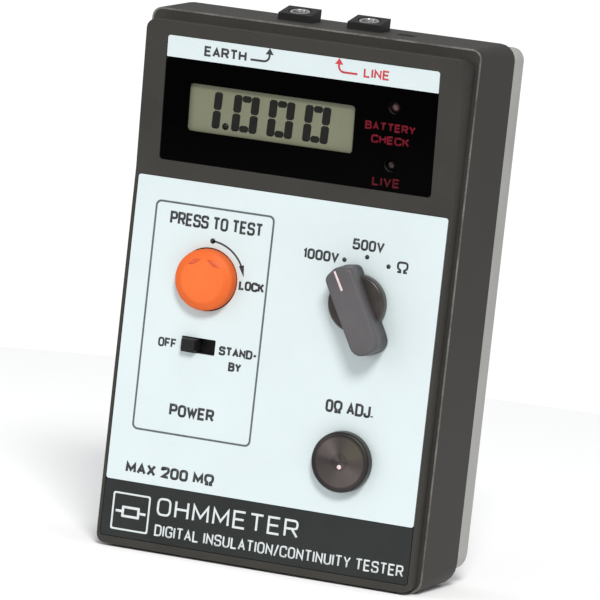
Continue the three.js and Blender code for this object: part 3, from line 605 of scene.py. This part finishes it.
# Each letter is a few strokes on a grid 6 high. A point may carry a corner radius, and a
# stroke whose last point is its first is closed.
R = 1.9
RING = [(0, 0, R), (4, 0, R), (4, 6, R), (0, 6, R), (0, 0, R)]
STEM = [(0, 0), (0, 6)]
LETTERS = {
    "A": [[(0, 0), (2, 6), (4, 0)], [(0.7, 1.9), (3.3, 1.9)]],
    "B": [[(0, 0), (4, 0, 1.5), (4, 3.2, 1.5), (0, 3.2), (0, 0)],
          [(0, 3.2), (3.7, 3.2, 1.3), (3.7, 6, 1.3), (0, 6), (0, 3.2)]],
    "C": [[(4, 4.3), (4, 6, R), (0, 6, R), (0, 0, R), (4, 0, R), (4, 1.7)]],
    "D": [[(0, 0), (4, 0, R), (4, 6, R), (0, 6), (0, 0)]],
    "E": [[(3.6, 6), (0, 6), (0, 0), (3.6, 0)], [(0, 3.1), (3.2, 3.1)]],
    "F": [[(3.6, 6), (0, 6), (0, 0)], [(0, 3), (3.1, 3)]],
    "G": [[(4, 4.3), (4, 6, R), (0, 6, R), (0, 0, R), (4, 0, R), (4, 2.7), (2.3, 2.7)]],
    "H": [STEM, [(4, 0), (4, 6)], [(0, 3.1), (4, 3.1)]],
    "I": [STEM],
    "J": [[(3, 6), (3, 0, 1.5), (0, 0, 1.5), (0, 1.8)]],
    "K": [STEM, [(3.9, 6), (0.3, 2.4)], [(1.5, 3.6), (4, 0)]],
    "L": [[(0, 6), (0, 0), (3.4, 0)]],
    "M": [[(0, 0), (0, 6), (2.4, 1.2), (4.8, 6), (4.8, 0)]],
    "N": [[(0, 0), (0, 6), (4, 0), (4, 6)]],
    "O": [RING],
    "P": [[(0, 2.8), (3.9, 2.8, 1.5), (3.9, 6, 1.5), (0, 6), (0, 2.8)], STEM],
    "R": [[(0, 2.9), (3.9, 2.9, 1.4), (3.9, 6, 1.4), (0, 6), (0, 2.9)], STEM,
          [(2.2, 2.9), (4, 0)]],
    "S": [[(3.9, 4.5), (3.9, 6, 1.5), (0, 6, 1.5), (0, 3.2, 1.4), (4, 3.1, 1.5), (4, 0, 1.5),
           (0, 0, 1.5), (0, 1.6)]],
    "T": [[(0, 6), (4, 6)], [(2, 6), (2, 0)]],
    "U": [[(0, 6), (0, 0, R), (4, 0, R), (4, 6)]],
    "V": [[(0, 6), (2, 0), (4, 6)]],
    "W": [[(0, 6), (1.4, 0), (2.8, 5), (4.2, 0), (5.6, 6)]],
    "X": [[(0, 0), (4, 6)], [(0, 6), (4, 0)]],
    "Y": [[(0, 6), (2, 2.7), (4, 6)], [(2, 2.7), (2, 0)]],
    "0": [[(0, 0, 1.7), (3.6, 0, 1.7), (3.6, 6, 1.7), (0, 6, 1.7), (0, 0, 1.7)]],
    "1": [[(0, 4.5), (1.2, 6), (1.2, 0)]],
    "2": [[(0, 4.3), (0, 6, 1.7), (3.8, 6, 1.7), (3.8, 3.4, 1.2), (0, 0), (3.8, 0)]],
    "5": [[(3.6, 6), (0.3, 6), (0, 3.2), (3.8, 3.7, 1.6), (3.8, 0, 1.7), (0, 0, 1.7), (0, 1.5)]],
    ".": [[(0, 0), (0, 0.7)]],
    "-": [[(0, 2.8), (2.2, 2.8)]],
    "/": [[(0, -0.4), (2.2, 6.4)]],
    "\u2126": [[(0, 0), (1.3, 0), (1.3, 1.1), (0, 2.4, 1), (0, 6, 2), (4.4, 6, 2), (4.4, 2.4, 1),
                (3.1, 1.1), (3.1, 0), (4.4, 0)]],
}
OHM = "\u2126"
LETTER_HEIGHT = 6
LETTER_GAP = 1.9
SPACE = 2.6
STROKE_LIFT = 0.004


def rounded(path, radius_scale):
    """The points of a path with its marked corners turned into arcs."""
    closed = path[0][:2] == path[-1][:2]
    corners = path[:-1] if closed else path
    points = []
    for i, corner in enumerate(corners):
        here = Vector(corner[:2])
        inside = closed or 0 < i < len(corners) - 1
        if len(corner) < 3 or not inside:
            points.append(here)
            continue
        to_last = Vector(corners[i - 1][:2]) - here
        to_next = Vector(corners[(i + 1) % len(corners)][:2]) - here
        cut = min(corner[2] * radius_scale, to_last.length * HALF_SIDE,
                  to_next.length * HALF_SIDE)
        start, end = here + to_last.normalized() * cut, here + to_next.normalized() * cut
        for step in range(CORNER_STEPS + 1):
            t = step / CORNER_STEPS
            points.append(start.lerp(here, t).lerp(here.lerp(end, t), t))
    return points, closed


def beside(points, closed, distance):
    """A path moved sideways, to its left for a positive distance, with mitred corners."""
    moved = []
    count = len(points)
    for i, here in enumerate(points):
        into = (here - points[i - 1]).normalized() if closed or i > 0 else None
        out = (points[(i + 1) % count] - here).normalized() if closed or i < count - 1 else None
        into = into or out
        out = out or into
        normal = Vector((-into.y - out.y, into.x + out.x))
        mitre = normal / max(1 + into.dot(out), SHARPEST_TURN)
        outer_side = (into.x * out.y - into.y * out.x) * distance < 0
        if outer_side and mitre.length > MITRE_LIMIT:
            mitre *= MITRE_LIMIT / mitre.length
        moved.append(here + mitre * distance)
    return moved


def print_words(name, words, span, place, mat, stroke):
    """Words printed on a face as strokes of even width, fitted to span = (u0, u1, v0, v1).

    Each stroke of a letter stands a little prouder than the last, so none share a face."""
    pen, letters = 0.0, []
    for letter in words:
        if letter == " ":
            pen += SPACE
            continue
        strokes = LETTERS[letter]
        letters.append((pen, strokes))
        pen += max(point[0] for path in strokes for point in path) + LETTER_GAP
    u0, u1, v0, v1 = span
    across = (u1 - u0 - stroke) / (pen - LETTER_GAP)
    up = (v1 - v0 - stroke) / LETTER_HEIGHT
    shapes = Solid()
    for left, strokes in letters:
        for number, path in enumerate(strokes):
            in_place = [
                (u0 + stroke / 2 + (left + p[0]) * across, v0 + stroke / 2 + p[1] * up, *p[2:])
                for p in path]
            line, closed = rounded(in_place, min(across, up))
            sides = [beside(line, closed, side * stroke / 2) for side in (1, -1)]
            high = INK + STROKE_LIFT * number
            if closed:
                outer, inner = sorted(sides, key=lambda loop: -abs(signed_area(loop)))
                shapes.plate(outer, [inner], -INK / 2, high)
            else:
                shapes.plate(sides[0] + sides[1][::-1], (), -INK / 2, high)
    return shapes.piece(name, place, "case", mat)


# ------------------------------------------------------------ display window and LCD
LCD_SPAN = (-32.0, 16.0, up_head(13.1), up_head(26.2))
LED_SPOTS = ((27.0, up_head(27.1)), (27.0, up_head(11.3)))
LED_HOLE = 1.75
WINDOW_SPAN = (-39.3, 39.3, up_head(4.4), up_head(32.55))
WINDOW_THICKNESS = 0.72


def display_window():
    """The smoked window, with a round-cornered opening for the LCD and one for each lamp."""
    holes = [round_rect(LCD_SPAN, 1.0)]
    holes += [circle(u, v, LED_HOLE, 24) for u, v in LED_SPOTS]
    window = Solid().plate(round_rect(WINDOW_SPAN, 1.2), holes, -WINDOW_THICKNESS, 0.0)
    obj = window.piece("window_pane", on_head, "case", WINDOW, "window_black", edge=0.12)
    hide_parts("display_window")


display_window()

SEGMENTS = {"0": "abcdef", "1": "bc"}
DIGITS = (("1", -30.5), ("0", -19.7), ("0", -9.4), ("0", 1.0))  # each with its left edge
DIGIT_V = 118.0
DIGIT_WIDTH, DIGIT_HEIGHT = 7.4, 10.0
DIGIT_STROKE = 2.3
DIGIT_LEAN = 0.05
DECIMAL_POINT = (-21.3, DIGIT_V + 0.9, 0.95)
SEGMENT_HEIGHT = 0.06


def lcd_digit(figures, figure, left):
    """Adds the bars of one blocky seven-segment digit."""
    gap, cut = 0.3, 0.5
    level = DIGIT_STROKE * 0.78
    right, top = left + DIGIT_WIDTH, DIGIT_V + DIGIT_HEIGHT
    middle_v = DIGIT_V + DIGIT_HEIGHT / 2
    inner = (left + DIGIT_STROKE + gap / 3, right - DIGIT_STROKE - gap / 3)
    left_bar, right_bar = (left, left + DIGIT_STROKE), (right - DIGIT_STROKE, right)
    upper, lower = (middle_v + gap / 2, top), (DIGIT_V, middle_v - gap / 2)
    bars = {
        "a": (*inner, top - level, top), "d": (*inner, DIGIT_V, DIGIT_V + level),
        "b": (*right_bar, *upper), "c": (*right_bar, *lower),
        "e": (*left_bar, *lower), "f": (*left_bar, *upper),
    }
    for segment in SEGMENTS[figure]:
        u0, u1, v0, v1 = bars[segment]
        outline = [(u0 + cut, v0), (u1 - cut, v0), (u1, v0 + cut), (u1, v1 - cut),
                   (u1 - cut, v1), (u0 + cut, v1), (u0, v1 - cut), (u0, v0 + cut)]
        leaning = [(u + (v - DIGIT_V) * DIGIT_LEAN, v) for u, v in outline]
        figures.plate(leaning, (), 0.0, SEGMENT_HEIGHT)


def on_lcd(u, v, w):
    """A point on the face of the LCD glass, which sits behind the window."""
    return on_head(u, v, w - LCD_SINK + HEAD_SINK)


def lcd_reading():
    """The figures 1.000 on the LCD glass."""
    figures = Solid()
    for figure, left in DIGITS:
        lcd_digit(figures, figure, left)
    figures.plate(circle(*DECIMAL_POINT, 20), (), 0.0, SEGMENT_HEIGHT)
    figures.piece("lcd_reading", on_lcd, "case", SEGMENT, "lcd")


lcd_reading()

# ------------------------------------------------------------ prints on the display head
ARROW_LOW, ARROW_HIGH = 138.3, 142.0
ARROW_BEND = 1.6
ARROW_STROKE = 0.55
ARROW_HEAD = (1.7, 2.3)


def terminal_arrow(name, start_u, end_u, mat):
    """An arrow that leaves a word, bends and points up at its terminal."""
    side = 1 if end_u > start_u else -1
    centre = (end_u - side * ARROW_BEND, ARROW_LOW + ARROW_BEND)
    from_angle, to_angle = (-90, 0) if side > 0 else (270, 180)
    bend = arc(*centre, ARROW_BEND, from_angle, to_angle, 8)
    path = [(start_u, ARROW_LOW), *bend, (end_u, ARROW_HIGH - 1.2)]
    head = arrow_head((end_u, ARROW_HIGH), 90, *ARROW_HEAD)
    print_shapes(name, [ribbon(path, ARROW_STROKE), head], on_head, mat)


print_words("word_earth", "EARTH", (-28.5, -16.2, 137.5, 140.3), on_head, INK_DARK, 0.58)
print_words("word_line", "LINE", (17.7, 25.1, 137.7, 140.3), on_head, INK_RED, 0.5)
terminal_arrow("arrow_earth", -15.0, -9.6, INK_DARK)
terminal_arrow("arrow_line", 15.9, 10.5, INK_RED)

LAMP_STROKE = 0.52
LAMP_WORDS = {
    "battery": ("BATTERY", (19.2, 33.7, 124.0, 126.3), INK_DIM),
    "check": ("CHECK", (21.2, 32.2, 120.5, 122.8), INK_DIM),
    "live": ("LIVE", (22.4, 30.4, 109.0, 111.5), INK_FAINT),
}
for name, (words, span, mat) in LAMP_WORDS.items():
    print_words("word_" + name, words, span, on_head, mat, LAMP_STROKE)

# ------------------------------------------------------------ prints on the front panel
CONTROL_BOX = (-39.1, -4.2, 33.2, 96.8)
CONTROL_LINE = 0.52
print_shapes("outline_box", [round_rect(CONTROL_BOX, 1.6)], on_panel, INK_LINE,
             holes=[round_rect(inset(CONTROL_BOX, CONTROL_LINE), 1.2)])

FRONT_WORDS = {
    "press": ("PRESS TO TEST", (-34.5, -7.3, 90.6, 94.2), 0.66),
    "lock": ("LOCK", (-12.5, -5.1, 75.5, 78.1), 0.6),
    "off": ("OFF", (-34.1, -28.7, 56.9, 59.5), 0.52),
    "stand": ("STAND-", (-16.2, -5.0, 57.0, 59.5), 0.58),
    "by": ("BY", (-13.0, -9.2, 53.0, 55.5), 0.6),
    "power": ("POWER", (-28.7, -15.5, 38.4, 41.8), 0.7),
    "1000v": ("1000V", (4.9, 15.3, 86.7, 89.6), 0.62),
    "500v": ("500V", (18.8, 27.9, 91.1, 94.1), 0.6),
    "ohm": (OHM, (32.0, 35.3, 86.5, 89.7), 0.58),
    "zero_adjust": ("0" + OHM + " ADJ.", (16.2, 30.0, 46.3, 49.8), 0.68),
    "range": ("MAX 200 M" + OHM, (-39.6, -13.5, 21.0, 24.2), 0.74),
}
for name, (words, span, stroke) in FRONT_WORDS.items():
    print_words("word_" + name, words, span, on_panel, INK_DARK, stroke)

RANGE_DOTS = ((16.9, 87.9), (23.3, 89.5), (29.65, 87.8))
RANGE_DOT_RADIUS = 0.62
for number, (u, v) in enumerate(RANGE_DOTS, 1):
    print_shapes(f"range_dot_{number}", [circle(u, v, RANGE_DOT_RADIUS, 20)], on_panel, INK_DARK)


def lock_arrow():
    """The arc from a dot above the button to an arrow head beside the word LOCK."""
    radius = 10.6
    sweep = arc(BUTTON_X, BUTTON_Z, radius, 88, 27, 20)
    tip = polar(BUTTON_X, BUTTON_Z, radius, 11)
    print_shapes("lock_arrow", [
        ribbon(sweep, 0.5),
        circle(*sweep[0], 0.75, 20),
        arrow_head(tip, -72, 3.2, 1.5)], on_panel, INK_DARK)


lock_arrow()


# ------------------------------------------------------------ painted highlight along the edge of the case's step
def ledge_edge():
    """A fine raised bead in the lighter edge material round the outer edge of the step between bezel
    and case sides: a painted highlight line.
    """
    step_depth, draft = 4.3, 1.7  # the step lies below the panel, and the sides lean in to it
    width, proud, sunk, margin = 0.5, 0.05, 0.1, 0.03
    head_corner, foot_corner = 2.8, 3.8
    case_low, case_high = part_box("front_case")
    half = case_high.x / MM - draft - margin
    low, high = case_low.z / MM + margin, case_high.z / MM - draft / 2 - margin

    def outline(distance):
        top, foot = head_corner - distance * 0.6, foot_corner - distance * 0.6
        right, head, base = half - distance, high - distance, low + distance
        return (arc(right - top, head - top, top, 0, 90, 8)
                + arc(top - right, head - top, top, 90, 180, 8)
                + arc(foot - right, base + foot, foot, 180, 270, 8)
                + arc(right - foot, base + foot, foot, 270, 360, 8))

    bead = Solid().plate(outline(0.0), [outline(width)], -step_depth - sunk, -step_depth + proud)
    bead.piece("case_step_painted_highlight", on_panel, "case", CASE_EDGE)


ledge_edge()

# ------------------------------------------------------------ prints on the name plate
print_words("word_ohmmeter", "OHMMETER", (-29.2, 12.4, 10.6, 15.6), on_panel, INK_WHITE, 0.62)
print_words("word_purpose", "DIGITAL INSULATION/CONTINUITY TESTER", (-29.2, 43.6, 4.9, 8.1),
            on_panel, INK_WHITE, 0.46)


def resistor_emblem():
    """A framed resistor symbol, the plate's plain sign for resistance."""
    span = (-42.3, -31.2, 4.9, 15.4)
    border, line, half_line, half_body = 0.5, 0.7, 0.35, 1.6
    u0, u1, v0, v1 = span
    level = (v0 + v1) / 2
    lead_u0, body_u0, body_u1, lead_u1 = u0 + 1.1, u0 + 2.9, u1 - 2.9, u1 - 1.1
    body = (body_u0, body_u1, level - half_body, level + half_body)
    loops = [(round_rect(span, 0.6, 3), [round_rect(inset(span, border), 0.4, 3)]),
             (round_rect(body, 0.2, 2), [round_rect(inset(body, line), 0.1, 2)])]
    for left, right in ((lead_u0, body_u0), (body_u1, lead_u1)):
        lead = [(left, level - half_line), (right, level - half_line),
                (right, level + half_line), (left, level + half_line)]
        loops.append((lead, ()))
    emblem = Solid()
    for outer, holes in loops:
        emblem.plate(outer, holes, -INK / 2, INK)
    emblem.piece("emblem", on_panel, "case", INK_WHITE)


resistor_emblem()


# ------------------------------------------------------------ test button
def button_cap():
    """The orange cap: a rounded rim, a shallow chamfer and a barely domed face."""
    flange = half_width(BUTTON_BOX)
    shaft = flange - 1.2
    hollow = shaft - 1.7
    back, front = above_panel(BUTTON_BOX)
    profile = [
        (flange - 0.2, back), (flange, back + 0.2), (flange, back + 0.9),
        (flange - 0.2, back + 1.1), (shaft, back + 1.1),
        (shaft, front - 1.9), (shaft - 0.08, front - 1.5), (shaft - 0.3, front - 1.15),
        (shaft - 0.65, front - 0.9), (shaft - 1.9, front - 0.28), (shaft - 2.2, front - 0.2),
        (shaft - 2.6, front - 0.16), (4.5, front - 0.1), (2.2, front - 0.03), (0.0, front)]
    inside = [(0.0, front - 2.4), (hollow - 0.2, front - 2.4), (hollow, front - 2.6),
              (hollow, back)]
    cap = Solid().turned((BUTTON_X, BUTTON_Z), inside + profile, 128)
    obj = cap.piece("button_cap", on_panel, "button_cap", ORANGE, "button_orange")
    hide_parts("test_button_cap")
    recess_shade_patches(front)


def recess_shade_patches(front):
    """Two leaf-shaped dark patches near the top of the button's face: painted shade standing in for
    two shallow cut-outs.
    """
    length, drop, half, steps = 3.6, 1.7, 0.62, 8
    marks = Solid()
    for side in (-1, 1):
        rise = []
        fall = []
        for step in range(steps + 1):
            t = step / steps
            u = BUTTON_X + side * (0.9 + length * t)
            v = BUTTON_Z + 5.7 - drop * t
            swell = half * math.sin(math.pi * t) + 0.02
            rise.append((u, v + swell))
            fall.append((u, v - swell))
        marks.plate(rise + fall[::-1], (), front - 0.5, front - 0.11)
    marks.piece("button_recess_shade_patches", on_panel, "button_cap", ORANGE_DARK, "button_orange")


button_cap()


# ------------------------------------------------------------ return spring of the button
def press_spring():
    """A coil that stays on the switch at the back."""
    low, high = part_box("test_button_spring")
    wire, turns, sides, steps = 0.7 * MM, 4, 8, 96
    radius = (high.x - low.x - wire) / 2
    x, z = (low.x + high.x) / 2, (low.z + high.z) / 2
    front, back = low.y + wire / 2, high.y - wire / 2
    pitch = (back - front) / (math.tau * turns)
    points, faces = [], []
    for i in range(steps + 1):
        angle = math.tau * turns * i / steps
        outward = Vector((math.cos(angle), 0.0, math.sin(angle)))
        along = Vector((-radius * outward.z, pitch, radius * outward.x)).normalized()
        across = along.cross(outward)
        centre = Vector((x, front + (back - front) * i / steps, z)) + outward * radius
        for k in range(sides):
            around = math.tau * k / sides
            points.append(
                centre + (outward * math.cos(around) + across * math.sin(around)) * wire / 2)
    for i in range(steps):
        for k in range(sides):
            a, b = i * sides + k, i * sides + (k + 1) % sides
            faces.append((a, b, b + sides, a + sides))
    faces += [tuple(range(sides))[::-1], tuple(range(steps * sides, (steps + 1) * sides))]
    mesh = bpy.data.meshes.new("press_spring")
    mesh.from_pydata(points, [], faces)
    coil = settle("press_spring", mesh, None, STEEL)
    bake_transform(coil)
    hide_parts("test_button_spring")


press_spring()


# ------------------------------------------------------------ range selector
BAR_HALF = 4.15
BAR_TIP = 10.9
BAR_TAIL = -14.2
SKIRT_RADIUS = 8.1
SELECTOR_BASE = 0.4  # the knob's back stands this far in front of the panel


def on_selector(u, v, w):
    """From the selector's own axes, v along its bar towards the pointer, to the frame."""
    cos, sin = math.cos(SELECTOR_REST), math.sin(SELECTOR_REST)
    return on_panel(SELECTOR_X + u * cos - v * sin, SELECTOR_Z + u * sin + v * cos, w)


def stacked(levels):
    """A closed solid through outlines of equal length; levels are (outline, w) going up."""
    solid = Solid()
    count = len(levels[0][0])
    for outline, w in levels:
        solid.points += [(u, v, w) for u, v in outline]
    for row in range(len(levels) - 1):
        for i in range(count):
            a, b = row * count + i, row * count + (i + 1) % count
            solid.faces.append((a, b, b + count, a + count))
    solid.faces.append(tuple(range(count))[::-1])
    solid.faces.append(tuple(range((len(levels) - 1) * count, len(levels) * count)))
    return solid


def bar_outline(distance):
    """The bar from the front, drawn in by a distance: a half-round tail and a gabled tip."""
    half, tip, tail = BAR_HALF - distance, BAR_TIP - distance, BAR_TAIL + distance
    shoulder, round_end = tip - 1.6, half * 0.93
    path = [(half, tail, round_end), (half, shoulder, 1.5), (0.0, tip, 1.2),
            (-half, shoulder, 1.5), (-half, tail, round_end), (half, tail, round_end)]
    return rounded(path, 1.0)[0]


def selector_knob():
    """A round skirt with a long rounded bar across it, and the pointer's filled line."""
    top = above_panel(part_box("selector_knob"))[1]
    face = top - 0.07
    levels = [(bar_outline(-0.28), SELECTOR_BASE), (bar_outline(-0.05), face - 2.0),
              (bar_outline(0.0), face - 0.95), (bar_outline(0.1), face - 0.55),
              (bar_outline(0.3), face - 0.22), (bar_outline(0.55), face - 0.05),
              (bar_outline(0.85), face), (bar_outline(1.2), face)]
    bar = stacked(levels).piece("selector_bar", on_selector, "selector", KNOB, "knob_grey")
    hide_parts("selector_knob")
    skirt = Solid().turned((0.0, 0.0), [
        (0.0, SELECTOR_BASE), (SKIRT_RADIUS - 0.15, SELECTOR_BASE),
        (SKIRT_RADIUS, SELECTOR_BASE + 0.15), (SKIRT_RADIUS - 0.04, 2.5),
        (SKIRT_RADIUS - 0.15, 2.95), (SKIRT_RADIUS - 0.4, 3.25), (SKIRT_RADIUS - 0.8, 3.4),
        (0.0, 3.4)])
    skirt.piece("selector_skirt", on_selector, "selector", SKIRT)
    line = Solid().plate([(-0.75, 4.3), (-0.05, 4.3), (-0.2, 9.9), (-0.75, 9.9)], (),
                         face - 0.4, top - 0.02)
    line.piece("pointer_line", on_selector, "selector", INK_PINK)


selector_knob()


# ------------------------------------------------------------ zero adjuster
def zero_knob():
    """A flat turned knob with a groove inside its rim and fine rings on its face."""
    radius, bore = ZERO_RADIUS, 2.8
    ring_pitch, land = 0.4, 0.2
    back, front = above_panel(ZERO_BOX)
    profile = [(0.0, front - 1.5), (bore, front - 1.5),
               (bore, back), (radius - 0.15, back), (radius, back + 0.15),
               (radius - 0.12, front - 0.75), (radius - 0.25, front - 0.45),
               (radius - 0.55, front - 0.2), (radius - 0.9, front - 0.08),
               (radius - 1.15, front - 0.04), (radius - 1.3, front - 0.16)]
    ring = radius - 1.45
    while ring > 0.7:
        profile += [(ring, front - 0.12), (ring - land, front - 0.15)]
        ring -= ring_pitch
    profile += [(0.0, front - 0.13)]
    knob = Solid().turned((ZERO_X, ZERO_Z), profile, 144)
    obj = knob.piece("zero_adjuster_knob", on_panel, "zero_adjuster", ZERO, "knob_brown")
    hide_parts("zero_knob")
    dot = Solid().turned((ZERO_X + 0.05, ZERO_Z - 1.3), [
        (0.0, front - 0.5), (0.62, front - 0.5), (0.62, front - 0.1), (0.5, front - 0.03),
        (0.25, front), (0.0, front)], 32)
    dot.piece("zero_index_dot", on_panel, "zero_adjuster", INK_PINK)


zero_knob()


# ------------------------------------------------------------ floor and light
FLOOR_RADIUS = 0.42  # these sizes are in metres
LIGHT_SIZE = 0.9
LIGHT_TARGET = (0, 0, 0.075)
SKY_STRENGTH = 0.56
BACKDROP_STRENGTH = 1.05


def make_floor():
    sides = 96
    mesh = bpy.data.meshes.new("floor")
    ring = [(FLOOR_RADIUS * math.cos(angle), FLOOR_RADIUS * math.sin(angle), 0.0)
            for angle in (math.tau * i / sides for i in range(sides))]
    mesh.from_pydata(ring, [], [tuple(range(sides))])
    paper = surface("floor_paper", (0.99, 0.99, 0.99), 0.9, 0.01, 4, 300, 0.02, 0.1, specular=0.1)
    mesh.materials.append(paper)
    floor = bpy.data.objects.new("floor", mesh)
    scene.collection.objects.link(floor)


def area_light(name, place, power, colour):
    data = bpy.data.lights.new(name, "AREA")
    data.shape = "DISK"
    data.size = LIGHT_SIZE
    data.energy = power
    data.color = colour
    light = bpy.data.objects.new(name, data)
    scene.collection.objects.link(light)
    light.location = place
    aim = Vector(LIGHT_TARGET) - Vector(place)
    light.rotation_mode = "QUATERNION"
    light.rotation_quaternion = aim.to_track_quat("-Z", "Y")


def make_world():
    """An even pale light all round, in front of a white backdrop."""
    world = bpy.data.worlds.new("studio")
    scene.world = world
    world.use_nodes = True
    nodes, link = world.node_tree.nodes, world.node_tree.links.new
    sky = nodes["Background"]
    sky.inputs["Color"].default_value = (0.97, 0.985, 1.0, 1.0)
    sky.inputs["Strength"].default_value = SKY_STRENGTH
    backdrop = nodes.new("ShaderNodeBackground")
    backdrop.inputs["Color"].default_value = (1.0, 1.0, 1.0, 1.0)
    backdrop.inputs["Strength"].default_value = BACKDROP_STRENGTH
    mix = nodes.new("ShaderNodeMixShader")
    link(nodes.new("ShaderNodeLightPath").outputs["Is Camera Ray"], mix.inputs["Fac"])
    link(sky.outputs["Background"], mix.inputs[1])
    link(backdrop.outputs["Background"], mix.inputs[2])
    link(mix.outputs["Shader"], nodes["World Output"].inputs["Surface"])


make_floor()
make_world()
area_light("key", (1.0, -2.2, 2.1), 84.0, (1.0, 0.99, 0.975))
area_light("fill", (-0.9, -0.9, 0.5), 3.0, (0.97, 0.985, 1.0))
scene.view_settings.view_transform = "Standard"
